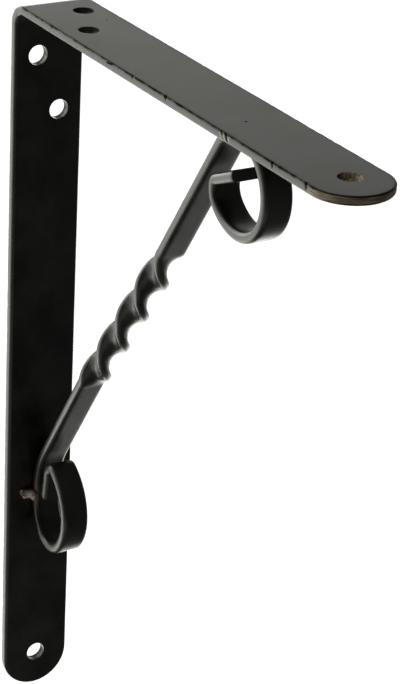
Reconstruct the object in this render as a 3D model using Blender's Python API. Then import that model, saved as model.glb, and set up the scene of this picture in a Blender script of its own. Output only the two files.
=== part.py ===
"""A black steel shelf bracket: a flat bar bent to a right angle, with a twisted and scrolled brace
welded across its corner by two short beads.

Metres, +Z up. The wall is the plane x = 0 and the arm reaches out along +X. The origin lies on the
back of the leg, at mid width, between the two upper screw holes.
"""

import math

import bmesh
import bpy
from mathutils import Vector

MM = 0.001

# The bent flat bar
BAR_WIDTH = 25.0 * MM
BAR_THICKNESS = 3.0 * MM
ARM_LENGTH = 188.0 * MM
LEG_LENGTH = 260.0 * MM
BEND_INSIDE_RADIUS = 4.0 * MM
BAR_ARRIS = 0.4 * MM
ARRIS_STEPS = 2
ARRIS_LEAST_ANGLE = 50.0
BAR_END_STEPS = 8
BEND_STEPS = 10
SHELF_FACE_HEIGHT = 28.0 * MM

# The screw holes: distance from the wall or below the shelf face, then offset along the width
HOLE_DIAMETER = 6.8 * MM
HOLE_SIDES = 24
ARM_HOLES = ((17.5 * MM, 4.3 * MM), (36.0 * MM, -3.6 * MM), (174.1 * MM, 0.8 * MM))
LEG_HOLES = ((18.2 * MM, -4.0 * MM), (37.7 * MM, 4.0 * MM), (246.7 * MM, 0.0))

# The brace: a narrower bar with rounded edges
BRACE_WIDTH = 9.8 * MM
BRACE_THICKNESS = 3.3 * MM
BRACE_EDGE_RADIUS = 1.2 * MM
BRACE_EDGE_STEPS = 3
BRACE_SIDE_OFFSET = 1.5 * MM

# The twist in the brace's middle
TWIST_SLOPE = 54.0
TWIST_HALF_TURNS = 4
TWIST_PITCH = 20.3 * MM
TWIST_WIDTH = 9.4 * MM
TWIST_LEAD_IN = 4.0 * MM
TWIST_STEPS_PER_HALF_TURN = 14

# Each end of the brace, outwards from the twist: (length,) is straight and (radius, degrees) an arc
LOWER_SCROLL = (
    (20.0 * MM, 2.8),
    (44.5 * MM,),
    (33.4 * MM, 33.2),
    (2.9 * MM,),
    (15.2 * MM, 45.0),
    (8.2 * MM, 45.0),
    (9.4 * MM, 45.0),
    (16.4 * MM, 45.0),
    (18.6 * MM, 60.5),
    (1.8 * MM, 71.0),
    (1.9 * MM,),
    (1.8 * MM, 40.5),
    (10.5 * MM,),
)
UPPER_SCROLL = (
    (20.0 * MM, -2.7),
    (54.9 * MM,),
    (11.3 * MM, 56.7),
    (15.8 * MM, 90.0),
    (13.8 * MM, 90.0),
    (17.0 * MM, 45.0),
    (6.7 * MM, 45.0),
    (0.9 * MM,),
    (2.1 * MM, 66.0),
    (11.0 * MM,),
)
DEGREES_PER_STEP = 9.0

# The weld beads, on the near side of the brace where a ring touches the bar
WELD_SIZE = 3.2 * MM
WELD_LENGTH = 5.4 * MM
WELD_ARC_STEPS = 5
WELD_RINGS = 7
WELD_END_ANGLE = 75.0

# Pieces that touch keep this gap
CONTACT_GAP = 0.3 * MM

# Edges sharper than this are drawn sharp
SMOOTH_ANGLE = 35.0


def clear_scene():
    for obj in list(bpy.data.objects):
        bpy.data.objects.remove(obj, do_unlink=True)


def painted_steel(name, colour, roughness):
    material = bpy.data.materials.new(name)
    material.use_nodes = True
    shader = material.node_tree.nodes["Principled BSDF"]
    shader.inputs["Base Color"].default_value = (*colour, 1.0)
    shader.inputs["Roughness"].default_value = roughness
    shader.inputs["Metallic"].default_value = 0.0
    return material


def object_from(bm, name):
    bmesh.ops.recalc_face_normals(bm, faces=bm.faces)
    mesh = bpy.data.meshes.new(name)
    bm.to_mesh(mesh)
    bm.free()
    mesh.shade_smooth()
    mesh.set_sharp_from_angle(angle=math.radians(SMOOTH_ANGLE))
    obj = bpy.data.objects.new(name, mesh)
    bpy.context.scene.collection.objects.link(obj)
    return obj


def bridge(bm, rings):
    """Joins rings of points with faces and closes both ends."""
    loops = [[bm.verts.new(point) for point in ring] for ring in rings]
    for lower, upper in zip(loops, loops[1:]):
        for i in range(len(lower)):
            j = (i + 1) % len(lower)
            bm.faces.new((lower[i], lower[j], upper[j], upper[i]))
    bm.faces.new(loops[0])
    bm.faces.new(loops[-1])


def bent_bar_point(along, out):
    """A point of the bent bar. along runs from the foot to the arm's tip on the outer face."""
    outer = BEND_INSIDE_RADIUS + BAR_THICKNESS
    leg = LEG_LENGTH - outer
    arc = outer * math.pi / 2
    if along <= leg:
        return out, along - LEG_LENGTH
    if along >= leg + arc:
        return outer + along - leg - arc, -out
    angle = (along - leg) / outer
    radius = outer - out
    return outer - radius * math.cos(angle), -outer + radius * math.sin(angle)


def bar_stations():
    """Places along the bar and its half width there, with half-round ends and a bend of even steps."""
    outer = BEND_INSIDE_RADIUS + BAR_THICKNESS
    leg = LEG_LENGTH - outer
    arc = outer * math.pi / 2
    total = leg + arc + ARM_LENGTH - outer
    half = BAR_WIDTH / 2
    end = []
    for i in range(BAR_END_STEPS):
        angle = math.pi / 2 * (i + 0.5) / (BAR_END_STEPS + 0.5)
        end.append((half - half * math.cos(angle), half * math.sin(angle)))
    end.append((half, half))
    bend = [(leg + arc * i / BEND_STEPS, half) for i in range(BEND_STEPS + 1)]
    tip = [(total - along, width) for along, width in reversed(end)]
    return end + bend + tip


def make_angle_bar():
    rings = []
    for along, width in bar_stations():
        ring = []
        for y, out in ((-width, 0.0), (width, 0.0), (width, BAR_THICKNESS), (-width, BAR_THICKNESS)):
            x, z = bent_bar_point(along, out)
            ring.append((x, y, z + SHELF_FACE_HEIGHT))
        rings.append(ring)
    bm = bmesh.new()
    bridge(bm, rings)
    bar = object_from(bm, "angle_bar")
    bar.data.materials.append(painted_steel("black_paint_bar", (0.012, 0.012, 0.011), 0.42))
    arris = bar.modifiers.new("arris", "BEVEL")
    arris.width = BAR_ARRIS
    arris.segments = ARRIS_STEPS
    arris.limit_method = "ANGLE"
    arris.angle_limit = math.radians(ARRIS_LEAST_ANGLE)
    for distance, aside in ARM_HOLES:
        centre = Vector((distance, aside, SHELF_FACE_HEIGHT - BAR_THICKNESS / 2))
        drill(bar, centre, Vector((0, 0, 1)))
    for below, aside in LEG_HOLES:
        centre = Vector((BAR_THICKNESS / 2, aside, SHELF_FACE_HEIGHT - below))
        drill(bar, centre, Vector((1, 0, 0)))


def drill(bar, centre, axis):
    bm = bmesh.new()
    bmesh.ops.create_cone(
        bm,
        cap_ends=True,
        segments=HOLE_SIDES,
        radius1=HOLE_DIAMETER / 2,
        radius2=HOLE_DIAMETER / 2,
        depth=4 * BAR_THICKNESS,
    )
    turn = Vector((0, 0, 1)).rotation_difference(axis)
    for vert in bm.verts:
        vert.co = centre + turn @ vert.co
    cutter = object_from(bm, f"drill_{len(bar.modifiers)}")
    cutter.hide_render = True
    cutter.display_type = "WIRE"
    hole = bar.modifiers.new(cutter.name, "BOOLEAN")
    hole.operation = "DIFFERENCE"
    hole.object = cutter


def walk(start, heading, bends, turn_sign):
    """Points and headings along straight runs and arcs, in side view."""
    x, z = start
    points = [(x, z, heading)]
    for bend in bends:
        if len(bend) == 1:
            x += bend[0] * math.cos(heading)
            z += bend[0] * math.sin(heading)
            points.append((x, z, heading))
            continue
        radius, degrees = bend
        steps = max(2, round(abs(degrees) / DEGREES_PER_STEP))
        step = math.radians(degrees) / steps
        for _ in range(steps):
            chord = 2 * radius * math.sin(abs(step) / 2)
            x += chord * math.cos(heading + turn_sign * step / 2)
            z += chord * math.sin(heading + turn_sign * step / 2)
            heading += turn_sign * step
            points.append((x, z, heading))
    return points


def brace_section(width):
    """The bar's cross-section as (across, through) pairs, a rectangle with rounded corners."""
    half_width = width / 2 - BRACE_EDGE_RADIUS
    half_thickness = BRACE_THICKNESS / 2 - BRACE_EDGE_RADIUS
    section = []
    for quarter, (side, face) in enumerate(((1, 1), (-1, 1), (-1, -1), (1, -1))):
        for i in range(BRACE_EDGE_STEPS + 1):
            angle = math.pi / 2 * (quarter + i / BRACE_EDGE_STEPS)
            section.append(
                (
                    side * half_width + BRACE_EDGE_RADIUS * math.cos(angle),
                    face * half_thickness + BRACE_EDGE_RADIUS * math.sin(angle),
                )
            )
    return section


def twist_angle(along, length):
    """The bar's turn at a distance along the twist, easing in and out over the lead-in."""
    lead = TWIST_LEAD_IN
    full = length - lead
    if along < lead:
        part = along * along / (2 * lead)
    elif along > length - lead:
        part = full - (length - along) ** 2 / (2 * lead)
    else:
        part = along - lead / 2
    return math.pi * TWIST_HALF_TURNS * part / full


def brace_stations():
    """(x, z, heading, turn, width) along the brace, from the lower tab to the upper one.

    The lower ring touches the leg and the upper ring touches the underside of the arm.
    """
    slope = math.radians(TWIST_SLOPE)
    length = TWIST_HALF_TURNS * TWIST_PITCH
    turned = math.pi * TWIST_HALF_TURNS
    lower = walk((0.0, 0.0), slope - math.pi, LOWER_SCROLL, 1)
    upper = walk((length * math.cos(slope), length * math.sin(slope)), slope, UPPER_SCROLL, -1)
    stations = [(x, z, heading + math.pi, 0.0, BRACE_WIDTH) for x, z, heading in reversed(lower)]
    steps = TWIST_STEPS_PER_HALF_TURN * TWIST_HALF_TURNS
    for i in range(1, steps):
        along = length * i / steps
        narrowed = min(along, length - along, TWIST_LEAD_IN) / TWIST_LEAD_IN
        width = BRACE_WIDTH + (TWIST_WIDTH - BRACE_WIDTH) * narrowed
        x = along * math.cos(slope)
        z = along * math.sin(slope)
        stations.append((x, z, slope, twist_angle(along, length), width))
    stations += [(x, z, heading, turned, BRACE_WIDTH) for x, z, heading in upper]
    reach = BAR_THICKNESS + CONTACT_GAP + BRACE_THICKNESS / 2
    shift_x = reach - min(station[0] for station in stations)
    shift_z = SHELF_FACE_HEIGHT - reach - max(station[1] for station in stations)
    return [(x + shift_x, z + shift_z, heading, turn, width) for x, z, heading, turn, width in stations]


def make_brace(stations):
    side = Vector((0, 1, 0))
    rings = []
    for x, z, heading, turn, width in stations:
        normal = Vector((math.sin(heading), 0, -math.cos(heading)))
        across = side * math.cos(turn) + normal * math.sin(turn)
        through = normal * math.cos(turn) - side * math.sin(turn)
        centre = Vector((x, BRACE_SIDE_OFFSET, z))
        rings.append([centre + across * a + through * t for a, t in brace_section(width)])
    bm = bmesh.new()
    bridge(bm, rings)
    brace = object_from(bm, "twisted_brace")
    brace.data.materials.append(painted_steel("black_paint_brace", (0.014, 0.014, 0.013), 0.4))


def make_weld(name, corner, out, along):
    """A bead in the corner between a face of the bar, which it leaves along out, and the brace's side."""
    side = Vector((0, -1, 0))
    rings = []
    for i in range(WELD_RINGS):
        tilt = math.radians(WELD_END_ANGLE * (2 * i / (WELD_RINGS - 1) - 1))
        centre = corner + along * (WELD_LENGTH / 2 * math.sin(tilt))
        radius = WELD_SIZE * math.cos(tilt)
        ring = [centre]
        for step in range(WELD_ARC_STEPS + 1):
            turn = math.pi / 2 * step / WELD_ARC_STEPS
            ring.append(centre + (out * math.cos(turn) + side * math.sin(turn)) * radius)
        rings.append(ring)
    bm = bmesh.new()
    bridge(bm, rings)
    bead = object_from(bm, name)
    bead.data.materials.append(painted_steel(f"paint_{name}", (0.05, 0.047, 0.04), 0.5))


def make_welds(stations):
    near_side = BRACE_SIDE_OFFSET - BRACE_WIDTH / 2 - CONTACT_GAP
    off_bar = BAR_THICKNESS + CONTACT_GAP
    leftmost = min(station[0] for station in stations)
    height = max(z for x, z, heading, turn, width in stations if x - leftmost < CONTACT_GAP / 10)
    on_leg = Vector((off_bar, near_side, height))
    make_weld("weld_at_leg", on_leg, Vector((1, 0, 0)), Vector((0, 0, 1)))
    distance = max(stations, key=lambda station: station[1])[0]
    under_arm = Vector((distance, near_side, SHELF_FACE_HEIGHT - off_bar))
    make_weld("weld_at_arm", under_arm, Vector((0, 0, -1)), Vector((1, 0, 0)))


def main():
    clear_scene()
    make_angle_bar()
    stations = brace_stations()
    make_brace(stations)
    make_welds(stations)


if __name__ == "__main__":
    main()
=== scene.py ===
"""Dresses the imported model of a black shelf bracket: a flat bar bent to a right angle and a twisted,
scrolled brace welded across its corner.

Metres, +Z up. The wall is the plane x = 0, the arm reaches out along +X and the bar's width lies
along Y. The origin is on the back of the leg, at mid width, between its two upper screw holes.
"""

import math
from functools import partial

import bmesh
import bpy
import numpy as np
from bpy.props import FloatProperty, FloatVectorProperty, IntProperty, PointerProperty
from bpy.types import Operator, Panel, PropertyGroup
from mathutils import Euler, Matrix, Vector, noise
from mathutils.geometry import delaunay_2d_cdt


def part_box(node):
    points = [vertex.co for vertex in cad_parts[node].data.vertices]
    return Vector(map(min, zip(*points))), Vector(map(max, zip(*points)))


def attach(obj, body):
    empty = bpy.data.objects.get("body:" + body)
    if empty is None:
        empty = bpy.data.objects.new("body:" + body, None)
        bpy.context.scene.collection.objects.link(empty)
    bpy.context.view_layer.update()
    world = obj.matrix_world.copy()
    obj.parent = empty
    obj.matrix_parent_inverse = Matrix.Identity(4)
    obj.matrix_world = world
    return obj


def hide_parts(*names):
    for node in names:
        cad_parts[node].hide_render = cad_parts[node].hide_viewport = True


bl_info = {
    "name": "Shelf bracket",
    "version": (1, 0, 0),
    "blender": (4, 5, 0),
    "location": "3D View > Sidebar > Shelf bracket",
    "description": "Makes the painted pieces of a twisted shelf bracket and the studio around them",
    "category": "Object",
}

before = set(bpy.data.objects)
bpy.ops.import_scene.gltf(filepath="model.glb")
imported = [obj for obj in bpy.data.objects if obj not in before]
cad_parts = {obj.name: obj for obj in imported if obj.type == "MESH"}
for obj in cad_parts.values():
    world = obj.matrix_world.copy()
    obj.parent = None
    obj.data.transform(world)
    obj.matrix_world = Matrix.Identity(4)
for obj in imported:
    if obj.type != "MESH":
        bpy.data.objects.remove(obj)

MM = 0.001


def mm(*lengths):
    """Lengths in metres from lengths in millimetres."""
    return tuple(length * MM for length in lengths)


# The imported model's box around the bent bar gives its outer sizes
BAR_LOW, BAR_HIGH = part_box("angle_bar")
BAR_WIDTH = BAR_HIGH.y - BAR_LOW.y
BAR_THICKNESS = 3.0 * MM
ARM_LENGTH = 188.0 * MM
LEG_LENGTH = 260.0 * MM
SHELF_FACE_HEIGHT = BAR_HIGH.z
BEND_INSIDE_RADIUS = 4.0 * MM
BEND_OUTSIDE_RADIUS = BEND_INSIDE_RADIUS + BAR_THICKNESS
STRAIGHT_LEG = LEG_LENGTH - BEND_OUTSIDE_RADIUS
BEND_ARC = BEND_OUTSIDE_RADIUS * math.pi / 2
STRIP_LENGTH = STRAIGHT_LEG + BEND_ARC + ARM_LENGTH - BEND_OUTSIDE_RADIUS
ARM_START = STRAIGHT_LEG + BEND_ARC - BEND_OUTSIDE_RADIUS

# The screw holes: distance from the wall or below the shelf face, then offset along the width
ARM_HOLES = (mm(17.5, 4.3), mm(36.0, -3.6), mm(174.1, 0.8))
LEG_HOLES = (mm(18.2, -4.0), mm(37.7, 4.0), mm(246.7, 0.0))

# How finely the bar is drawn
EDGE_SPACING = 0.35 * MM
FACE_SPACING = 1.3 * MM
BEND_SPACING = 0.45 * MM
HOLE_POINTS = 72
ARRIS_ROWS = 4
WALL_ROWS = 5
CLEAR_OF_EDGE = 0.75 * MM
INNER_ROWS = mm(0.35, 0.85)

# Rounded edges. The shear rolled the bar's inner face over and left its outer face sharper, and the
# punch went into the same inner face of the leg and the outer face of the arm.
INNER_ARRIS = 1.1 * MM
PUNCH_ENTRY_ARRIS = 0.12 * MM
PUNCH_EXIT_ARRIS = 0.1 * MM

# Nicks in the arm's near upper arris: distance from the wall, half length, depth
ARRIS_NICKS = (
    mm(28.0, 0.5, 0.2), mm(79.5, 0.5, 0.25), mm(99.1, 0.7, 0.35), mm(133.2, 1.4, 0.3), mm(156.7, 0.5, 0.25),
    mm(173.3, 0.5, 0.25),
)
NICK_REACH = 0.55 * MM

# How far the sheared edges and their arris wander, over what length, and the noise's row for each
EDGE_WAVE_LENGTH = 9.0 * MM
EDGE_WAVE_REACH = 1.0 * MM
ARRIS_WANDER = 0.05 * MM
ARRIS_WANDER_LENGTH = 2.4 * MM
SLOW_ROW = 0.5
QUICK_ROW = 3.5
NEAR_EDGE_ROW = 1.5
FAR_EDGE_ROW = 7.5

# Grooves struck in the arm's near edge, each from one place to another (distance from the wall,
# depth below the shelf face), with its half width and its depth
EDGE_GROOVES = (
    (mm(28.0, 0.0), mm(28.2, 0.9), *mm(0.2, 0.15)),
    (mm(64.0, 0.7), mm(67.0, 0.4), *mm(0.5, 0.0)),
    (mm(79.5, 0.0), mm(79.6, 0.9), *mm(0.2, 0.15)),
    (mm(99.1, 0.0), mm(99.3, 1.2), *mm(0.22, 0.2)),
    (mm(130.4, 0.0), mm(130.6, 1.0), *mm(0.25, 0.35)),
    (mm(132.3, 0.2), mm(133.5, 2.1), *mm(0.3, 0.35)),
    (mm(156.7, 0.0), mm(156.9, 1.4), *mm(0.25, 0.3)),
    (mm(173.3, 0.0), mm(173.5, 1.6), *mm(0.3, 0.3)),
)

# Strokes beside them where the paint is off. They are painted pale partly as bare steel and partly as a
# painted highlight where a groove's side faces the light
GLINTING_BARE_STROKES = (
    (mm(129.3, 0.7), mm(129.9, 1.5)),
    (mm(131.6, 0.5), mm(132.3, 2.5)),
    (mm(134.1, 0.5), mm(134.1, 1.7)),
)
STROKE_HALF_WIDTH = 0.25 * MM

# How far in from the edge the shear's marks reach, and how far those strokes are painted pale, as bare
# steel and as a painted highlight
SHEARED_REACH = 0.5 * MM
STROKE_BARE_AND_GLINT = 0.6

# How dull the torn steel is along the arm's sheared arris, and how unevenly
ARRIS_ROUGH = 0.83
ARRIS_UNEVEN = 0.25
ARRIS_REACH = 0.75 * MM

# A punched wall is torn down to a depth and smooth beyond it, over a short blend
TORN_DEPTH = 1.1 * MM
TORN_BLEND = 0.3 * MM
WALL_MARGIN = 0.05 * MM

# How dull the torn and the smooth part of the leg's punched walls are, the arm's near edge and the
# leg's far edge
PUNCH_ROUGH = 0.75
SMOOTH_ROUGH = 0.45
NEAR_EDGE_ROUGH = 0.15
FAR_EDGE_ROUGH = 0.65

# Bare specks round the tip's hole: size, least noise that makes one, and how bare, far out and deep
SPECK_SIZE = 0.6 * MM
SPECK_LEAST = 0.2
SPECK_BARE = 0.5
SPECK_REACH = 0.4 * MM
SPECK_DEPTH = 0.3 * MM

# Rust in that hole, which is also painted light and shade: the film rises to the lit far wall and thins on
# the shaded near wall. How far past the rim, amount in the middle, rise to the far side, least amount
HOLE_RUST_REACH = 0.6 * MM
HOLE_RUST = 0.55
HOLE_RUST_AND_LIGHT_RISE = 0.8
HOLE_RUST_LEAST = 0.1

# Rust on the tip's edge: the depths it lies between, the blend at each, where it starts before the
# round end and over what length it comes in
TIP_RUST_DEPTHS = mm(0.15, 2.45)
TIP_RUST_BLEND = 0.3 * MM
TIP_RUST_LEAD = 4.0 * MM
TIP_RUST_RISE = 6.0 * MM

# Dull pits in the shelf face: distance from the wall, offset along the width, radius
PITS = (mm(126.4, -2.1, 0.8), mm(28.9, 6.5, 0.6))

# The brace: a narrower bar with rounded edges
BRACE_WIDTH = 9.8 * MM
BRACE_THICKNESS = 3.6 * MM
BRACE_SIDE_OFFSET = 1.5 * MM
TWIST_SLOPE = 54.0
TWIST_HALF_TURNS = 4
TWIST_LENGTH = TWIST_HALF_TURNS * 20.3 * MM
TWIST_WIDTH = 10.0 * MM
TWIST_LEAD_IN = 4.0 * MM
DENT_SIZE = 7.0 * MM
BRACE_EDGE_STEPS = 7
BRACE_FACE_CUTS = 5
BRACE_SEED = 5

# Each end of the brace, outwards from the twist: (length,) is straight and
# (radius, degrees) an arc, in mm
LOWER_SCROLL = (
    (20.0, 2.8), (44.5,), (33.4, 33.2), (2.9,), (15.2, 45.0), (8.2, 45.0),
    (9.4, 45.0), (16.4, 45.0), (18.6, 60.5), (1.8, 71.0), (1.9,),
    (1.8, 40.5), (10.5,),
)
UPPER_SCROLL = (
    (20.0, -2.7), (54.9,), (11.3, 56.7), (15.8, 90.0), (13.8, 90.0),
    (17.0, 45.0), (6.7, 45.0), (0.9,), (2.1, 66.0), (11.0,),
)
STRAIGHT_STEP = 1.5 * MM
TWIST_STEP = 0.4 * MM
DEGREES_PER_STEP = 3.0
LEAST_ARC_STEP = 0.25 * MM
TAB_ARRIS = 0.25 * MM

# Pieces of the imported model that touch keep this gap
CONTACT_GAP = 0.3 * MM

# A weld bead's drops, from the corner of bar and brace: out of the bar, out of the brace's side,
# along the corner, then the drop's radius
WELD_DROPS = (
    mm(0.5, 3.0, 0.3, 1.35), mm(0.9, 1.9, 0.1, 1.3), mm(1.3, 0.9, 0.0, 1.5), mm(2.4, 0.3, 0.1, 1.25),
    mm(3.4, 0.1, 0.0, 1.0), mm(0.4, 2.4, -1.5, 1.0), mm(2.8, 0.2, -1.4, 1.0), mm(0.7, 1.5, -1.0, 1.1),
    mm(1.8, 0.6, -1.1, 1.1),
)
WELD_SKIN = 0.3
SCORCH_REACH = 11.0 * MM

# The patterns of the finishes: cloudy patches, scorched flakes, orange peel, the shear's marks
# (along the edge, then down it), rust streaks and blotches, and patches on the welds, pale as thin
# paint and also as a painted highlight
CLOUD_SIZE = 14.0 * MM
FLAKE_SIZE = 1.8 * MM
PEEL_SIZE = 1.3 * MM
PEEL_DEPTH = 0.004 * MM
SHEAR_MARK_SIZES = mm(0.7, 5.0)
SHEAR_MARK_DEPTH = 0.03 * MM
RUST_STREAK_SIZES = mm(6.0, 6.0, 0.5)
RUST_BLOTCH_SIZE = 1.1 * MM
WELD_PATCH_SIZE = 1.6 * MM
ROUGHNESS_SPREAD = 0.05
RUST_ROUGHNESS = 0.65
ENAMEL_IOR = 1.5
WELD_ROUGHNESS = 0.5
ACRYLIC_WHITE = (0.8, 0.8, 0.8, 1.0)
ACRYLIC_ROUGHNESS = 0.9

# Where in its noise each pattern starts to show, and where it is full
CLOUD_SHEEN = (0.3, 0.7)
CLOUD_TONE = (0.34, 0.7)
SCORCH_TONE = (0.2, 0.42)
RUST_TONE = (0.33, 0.67)
RUST_FILM = (0.85, 1.15)
WELD_TONE = (0.48, 0.64)

# The shader's usual shine, how dull the steel is where none is left, and the core of a pit without any
SHINE = 0.5
NO_SHINE_DULLNESS = 0.8
PIT_CORE = 0.4

# The photograph's camera
CAMERA_PLACE = (0.64232, -0.33387, 0.24656)
CAMERA_TURN = (65.0642, -2.7772, 59.6021)
CAMERA_LENS = 122.08
CAMERA_SHIFT = (0.00857, -0.01188)

# Every lamp gives the same slightly yellow white and takes this many watts a square metre for each
# unit of its radiance
LIGHT_COLOUR = (1.0, 1.0, 0.94)
WATTS_FOR_RADIANCE = 4.0

# Large soft lights round the bracket: (azimuth, elevation) in degrees, distance, half of the angle
# each spans across and up, and radiance
LIGHT_CENTRE = (0.08, 0.0, -0.08)
SOFTBOXES = {
    "back": ((180, -22), 1.2, (50, 32), 1.62),
    "high_back": ((180, 5), 1.2, (40, 10), 1.17),
    "high_left": ((-150, 22), 1.2, (30, 17), 2.99),
    "left": ((-115, -15), 1.1, (25, 30), 0.96),
    "right": ((110, -25), 1.1, (22, 32), 0.46),
    "high_right": ((150, 27), 1.2, (30, 14), 0.42),
    "low_back": ((170, -55), 1.0, (45, 14), 1.28),
    "low_front": ((-40, -35), 0.9, (35, 10), 0.45),
}

# The floor and the round wall that it curves up into
FLOOR_DEPTH = 0.9
COVE_RADIUS = 2.4
COVE_FILLET = 0.8
COVE_STEPS = 10
COVE_SIDES = 48


def length_setting(name, description, default):
    return FloatProperty(name=name, description=description, default=default, unit="LENGTH", precision=5)


def share_setting(name, description, default):
    return FloatProperty(name=name, description=description, default=default, min=0.1, max=0.9)


def linear_colour(hex_value):
    """The linear colour of an sRGB hex value such as 1c1c1a."""
    channels = []
    for start in (0, 2, 4):
        value = int(hex_value[start:start + 2], 16) / 255
        channels.append(value / 12.92 if value <= 0.04045 else ((value + 0.055) / 1.055) ** 2.4)
    return tuple(channels)


def colour_setting(name, description, hex_value):
    return FloatVectorProperty(
        name=name, description=description, subtype="COLOR", size=4, min=0, max=1,
        default=(*linear_colour(hex_value), 1.0),
    )


class BarSizes(PropertyGroup):
    """Sizes of the bent bar."""

    width: length_setting("Width", "Width of the bar", BAR_WIDTH)
    outer_arris: length_setting("Outer arris", "Radius of the edges to the wall and the shelf", 0.45 * MM)
    inner_arris: length_setting("Inner arris", "Radius of the edges to the corner", INNER_ARRIS)
    hole: length_setting("Hole", "Diameter of the screw holes", 6.8 * MM)
    waviness: length_setting("Waviness", "How far the edges wander from straight", 0.05 * MM)


class BraceSizes(PropertyGroup):
    """Sizes of the twisted brace."""

    width: length_setting("Width", "Width of the brace's bar", BRACE_WIDTH)
    thickness: length_setting("Thickness", "Thickness of the brace's bar", BRACE_THICKNESS)
    edge_depth: length_setting("Edge depth", "Rounding through the thickness", 1.65 * MM)
    edge_reach: length_setting("Edge reach", "Rounding across the width", 1.35 * MM)
    half_turns: IntProperty(
        name="Half turns", description="Half turns of the twist", default=TWIST_HALF_TURNS, min=0, max=12
    )
    unevenness: length_setting("Unevenness", "Depth of the marks of rolling and twisting", 0.05 * MM)


class WeldSizes(PropertyGroup):
    """Sizes of the weld beads."""

    voxel: length_setting("Grain", "Smallest form of a bead's surface", 0.14 * MM)
    melting: IntProperty(
        name="Melting", description="How far the drops have run together", default=20, min=0
    )
    ripple: length_setting("Ripple", "Spacing of a bead's ripples", 1.1 * MM)
    depth: length_setting("Ripple depth", "Depth of a bead's ripples", 0.1 * MM)
    seed: IntProperty(name="Seed", description="Which ripples are drawn", default=3)


class Finish(PropertyGroup):
    """Colours of the finishes."""

    enamel: colour_setting("Enamel", "Colour of the black enamel", "0e0e0b")
    thin_enamel: colour_setting("Thin enamel", "Colour of the enamel's cloudy patches", "32322a")
    bar_roughness: share_setting("Bar roughness", "Roughness of the bar's enamel", 0.34)
    brace_roughness: share_setting("Brace roughness", "Roughness of the brace's enamel", 0.33)
    # Bare steel's colour, which on the strokes also stands in for their glint as a painted highlight
    bare_and_glint: colour_setting("Bare steel", "Colour of strokes where the paint is off", "b0a898")
    rust: colour_setting("Rust", "Colour of the rust film on the arm's tip", "a8977a")
    dark_rust: colour_setting("Dark rust", "Colour of the streaks in the rust film", "332e25")
    scorch: colour_setting("Scorch", "Colour of the enamel burnt by the welds", "3f2b1a")
    # Thin paint on the weld, made paler than the paint alone would be as a painted highlight
    weld: colour_setting("Weld", "Colour of the thinly painted weld", "c4b8a4")


class Studio(PropertyGroup):
    """The light and the floor."""

    lights: FloatProperty(name="Lights", description="Strength of the softboxes", default=1.0, min=0)
    ambient: FloatProperty(name="Ambient", description="Radiance of the room", default=0.085, min=0)
    floor: FloatProperty(name="Floor", description="Radiance of the lit floor", default=1.0, min=0)


def add_node(tree, kind, inputs=None, **settings):
    """Adds a node with its settings and a value or a link for each input, and returns its outputs."""
    node = tree.nodes.new(kind)
    for name, value in settings.items():
        setattr(node, name, value)
    for key, value in (inputs or {}).items():
        if isinstance(value, bpy.types.NodeSocket):
            tree.links.new(value, node.inputs[key])
        else:
            node.inputs[key].default_value = value
    return node.outputs


def add_object(name, data):
    obj = bpy.data.objects.new(name, data)
    bpy.context.scene.collection.objects.link(obj)
    return obj


def check_closed(obj):
    """Raises an error unless the mesh has faces, is closed and has them point outwards."""
    bm = bmesh.new()
    bm.from_mesh(obj.data)
    open_edges = sum(not edge.is_manifold for edge in bm.edges)
    volume = bm.calc_volume(signed=True)
    bm.free()
    if open_edges or volume <= 0:
        raise RuntimeError(f"{obj.name} has {open_edges} open edges and a volume of {volume}")


def strip_to_bar(along, aside, out):
    """Points of the bent bar from places on the flat strip, which starts at the foot.

    along is measured on the outer face, aside is across the width and out is the depth below it.
    """
    angle = np.clip((along - STRAIGHT_LEG) / BEND_OUTSIDE_RADIUS, 0, math.pi / 2)
    radius = BEND_OUTSIDE_RADIUS - out
    on_arm = np.maximum(along - STRAIGHT_LEG - BEND_ARC, 0)
    on_leg = np.maximum(STRAIGHT_LEG - along, 0)
    x = BEND_OUTSIDE_RADIUS - radius * np.cos(angle) + on_arm
    z = SHELF_FACE_HEIGHT - BEND_OUTSIDE_RADIUS + radius * np.sin(angle) - on_leg
    return np.column_stack((x, aside, z))


def strip_outline(width):
    """Points round the flat strip and the direction out of the steel at each."""
    half = width / 2
    side = STRIP_LENGTH - width
    side_steps = round(side / EDGE_SPACING)
    end_steps = round(math.pi * half / EDGE_SPACING)
    run = np.arange(side_steps) / side_steps
    turn = np.arange(end_steps) / end_steps * math.pi
    down = np.column_stack((np.zeros(side_steps), np.full(side_steps, -1.0)))
    near = np.column_stack((half + side * run, np.full(side_steps, -half)))
    tip_out = np.column_stack((np.sin(turn), -np.cos(turn)))
    tip = tip_out * half + (STRIP_LENGTH - half, 0)
    far = np.column_stack((STRIP_LENGTH - half - side * run, np.full(side_steps, half)))
    foot = -tip_out * half + (half, 0)
    return np.concatenate((near, tip, far, foot)), np.concatenate((down, tip_out, -down, -tip_out))


def hole_outline(centre, radius):
    """Points round a hole, in the other sense, and the direction out of the steel at each."""
    turn = -np.arange(HOLE_POINTS) / HOLE_POINTS * 2 * math.pi
    spoke = np.column_stack((np.cos(turn), np.sin(turn)))
    return spoke * radius + centre, -spoke


def wall_rows(entry, leaving):
    """(inset, depth) rows down a wall with a rounded arris at each face."""
    ends = []
    for radius in (entry, leaving):
        steps = ARRIS_ROWS if radius < INNER_ARRIS else 2 * ARRIS_ROWS
        turns = [math.pi / 2 * i / steps for i in range(steps + 1)]
        ends.append([(radius * (1 - math.sin(a)), radius * (1 - math.cos(a))) for a in turns])
    straight = BAR_THICKNESS - entry - leaving
    rows = ends[0] + [(0.0, entry + straight * i / WALL_ROWS) for i in range(1, WALL_ROWS)]
    return rows + [(inset, BAR_THICKNESS - depth) for inset, depth in ends[1][::-1]]


def inset_from_outline(along, aside, half):
    """How far each place lies inside the strip's outline."""
    to_spine = along - np.clip(along, half, STRIP_LENGTH - half)
    return half - np.hypot(to_spine, aside)


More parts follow.
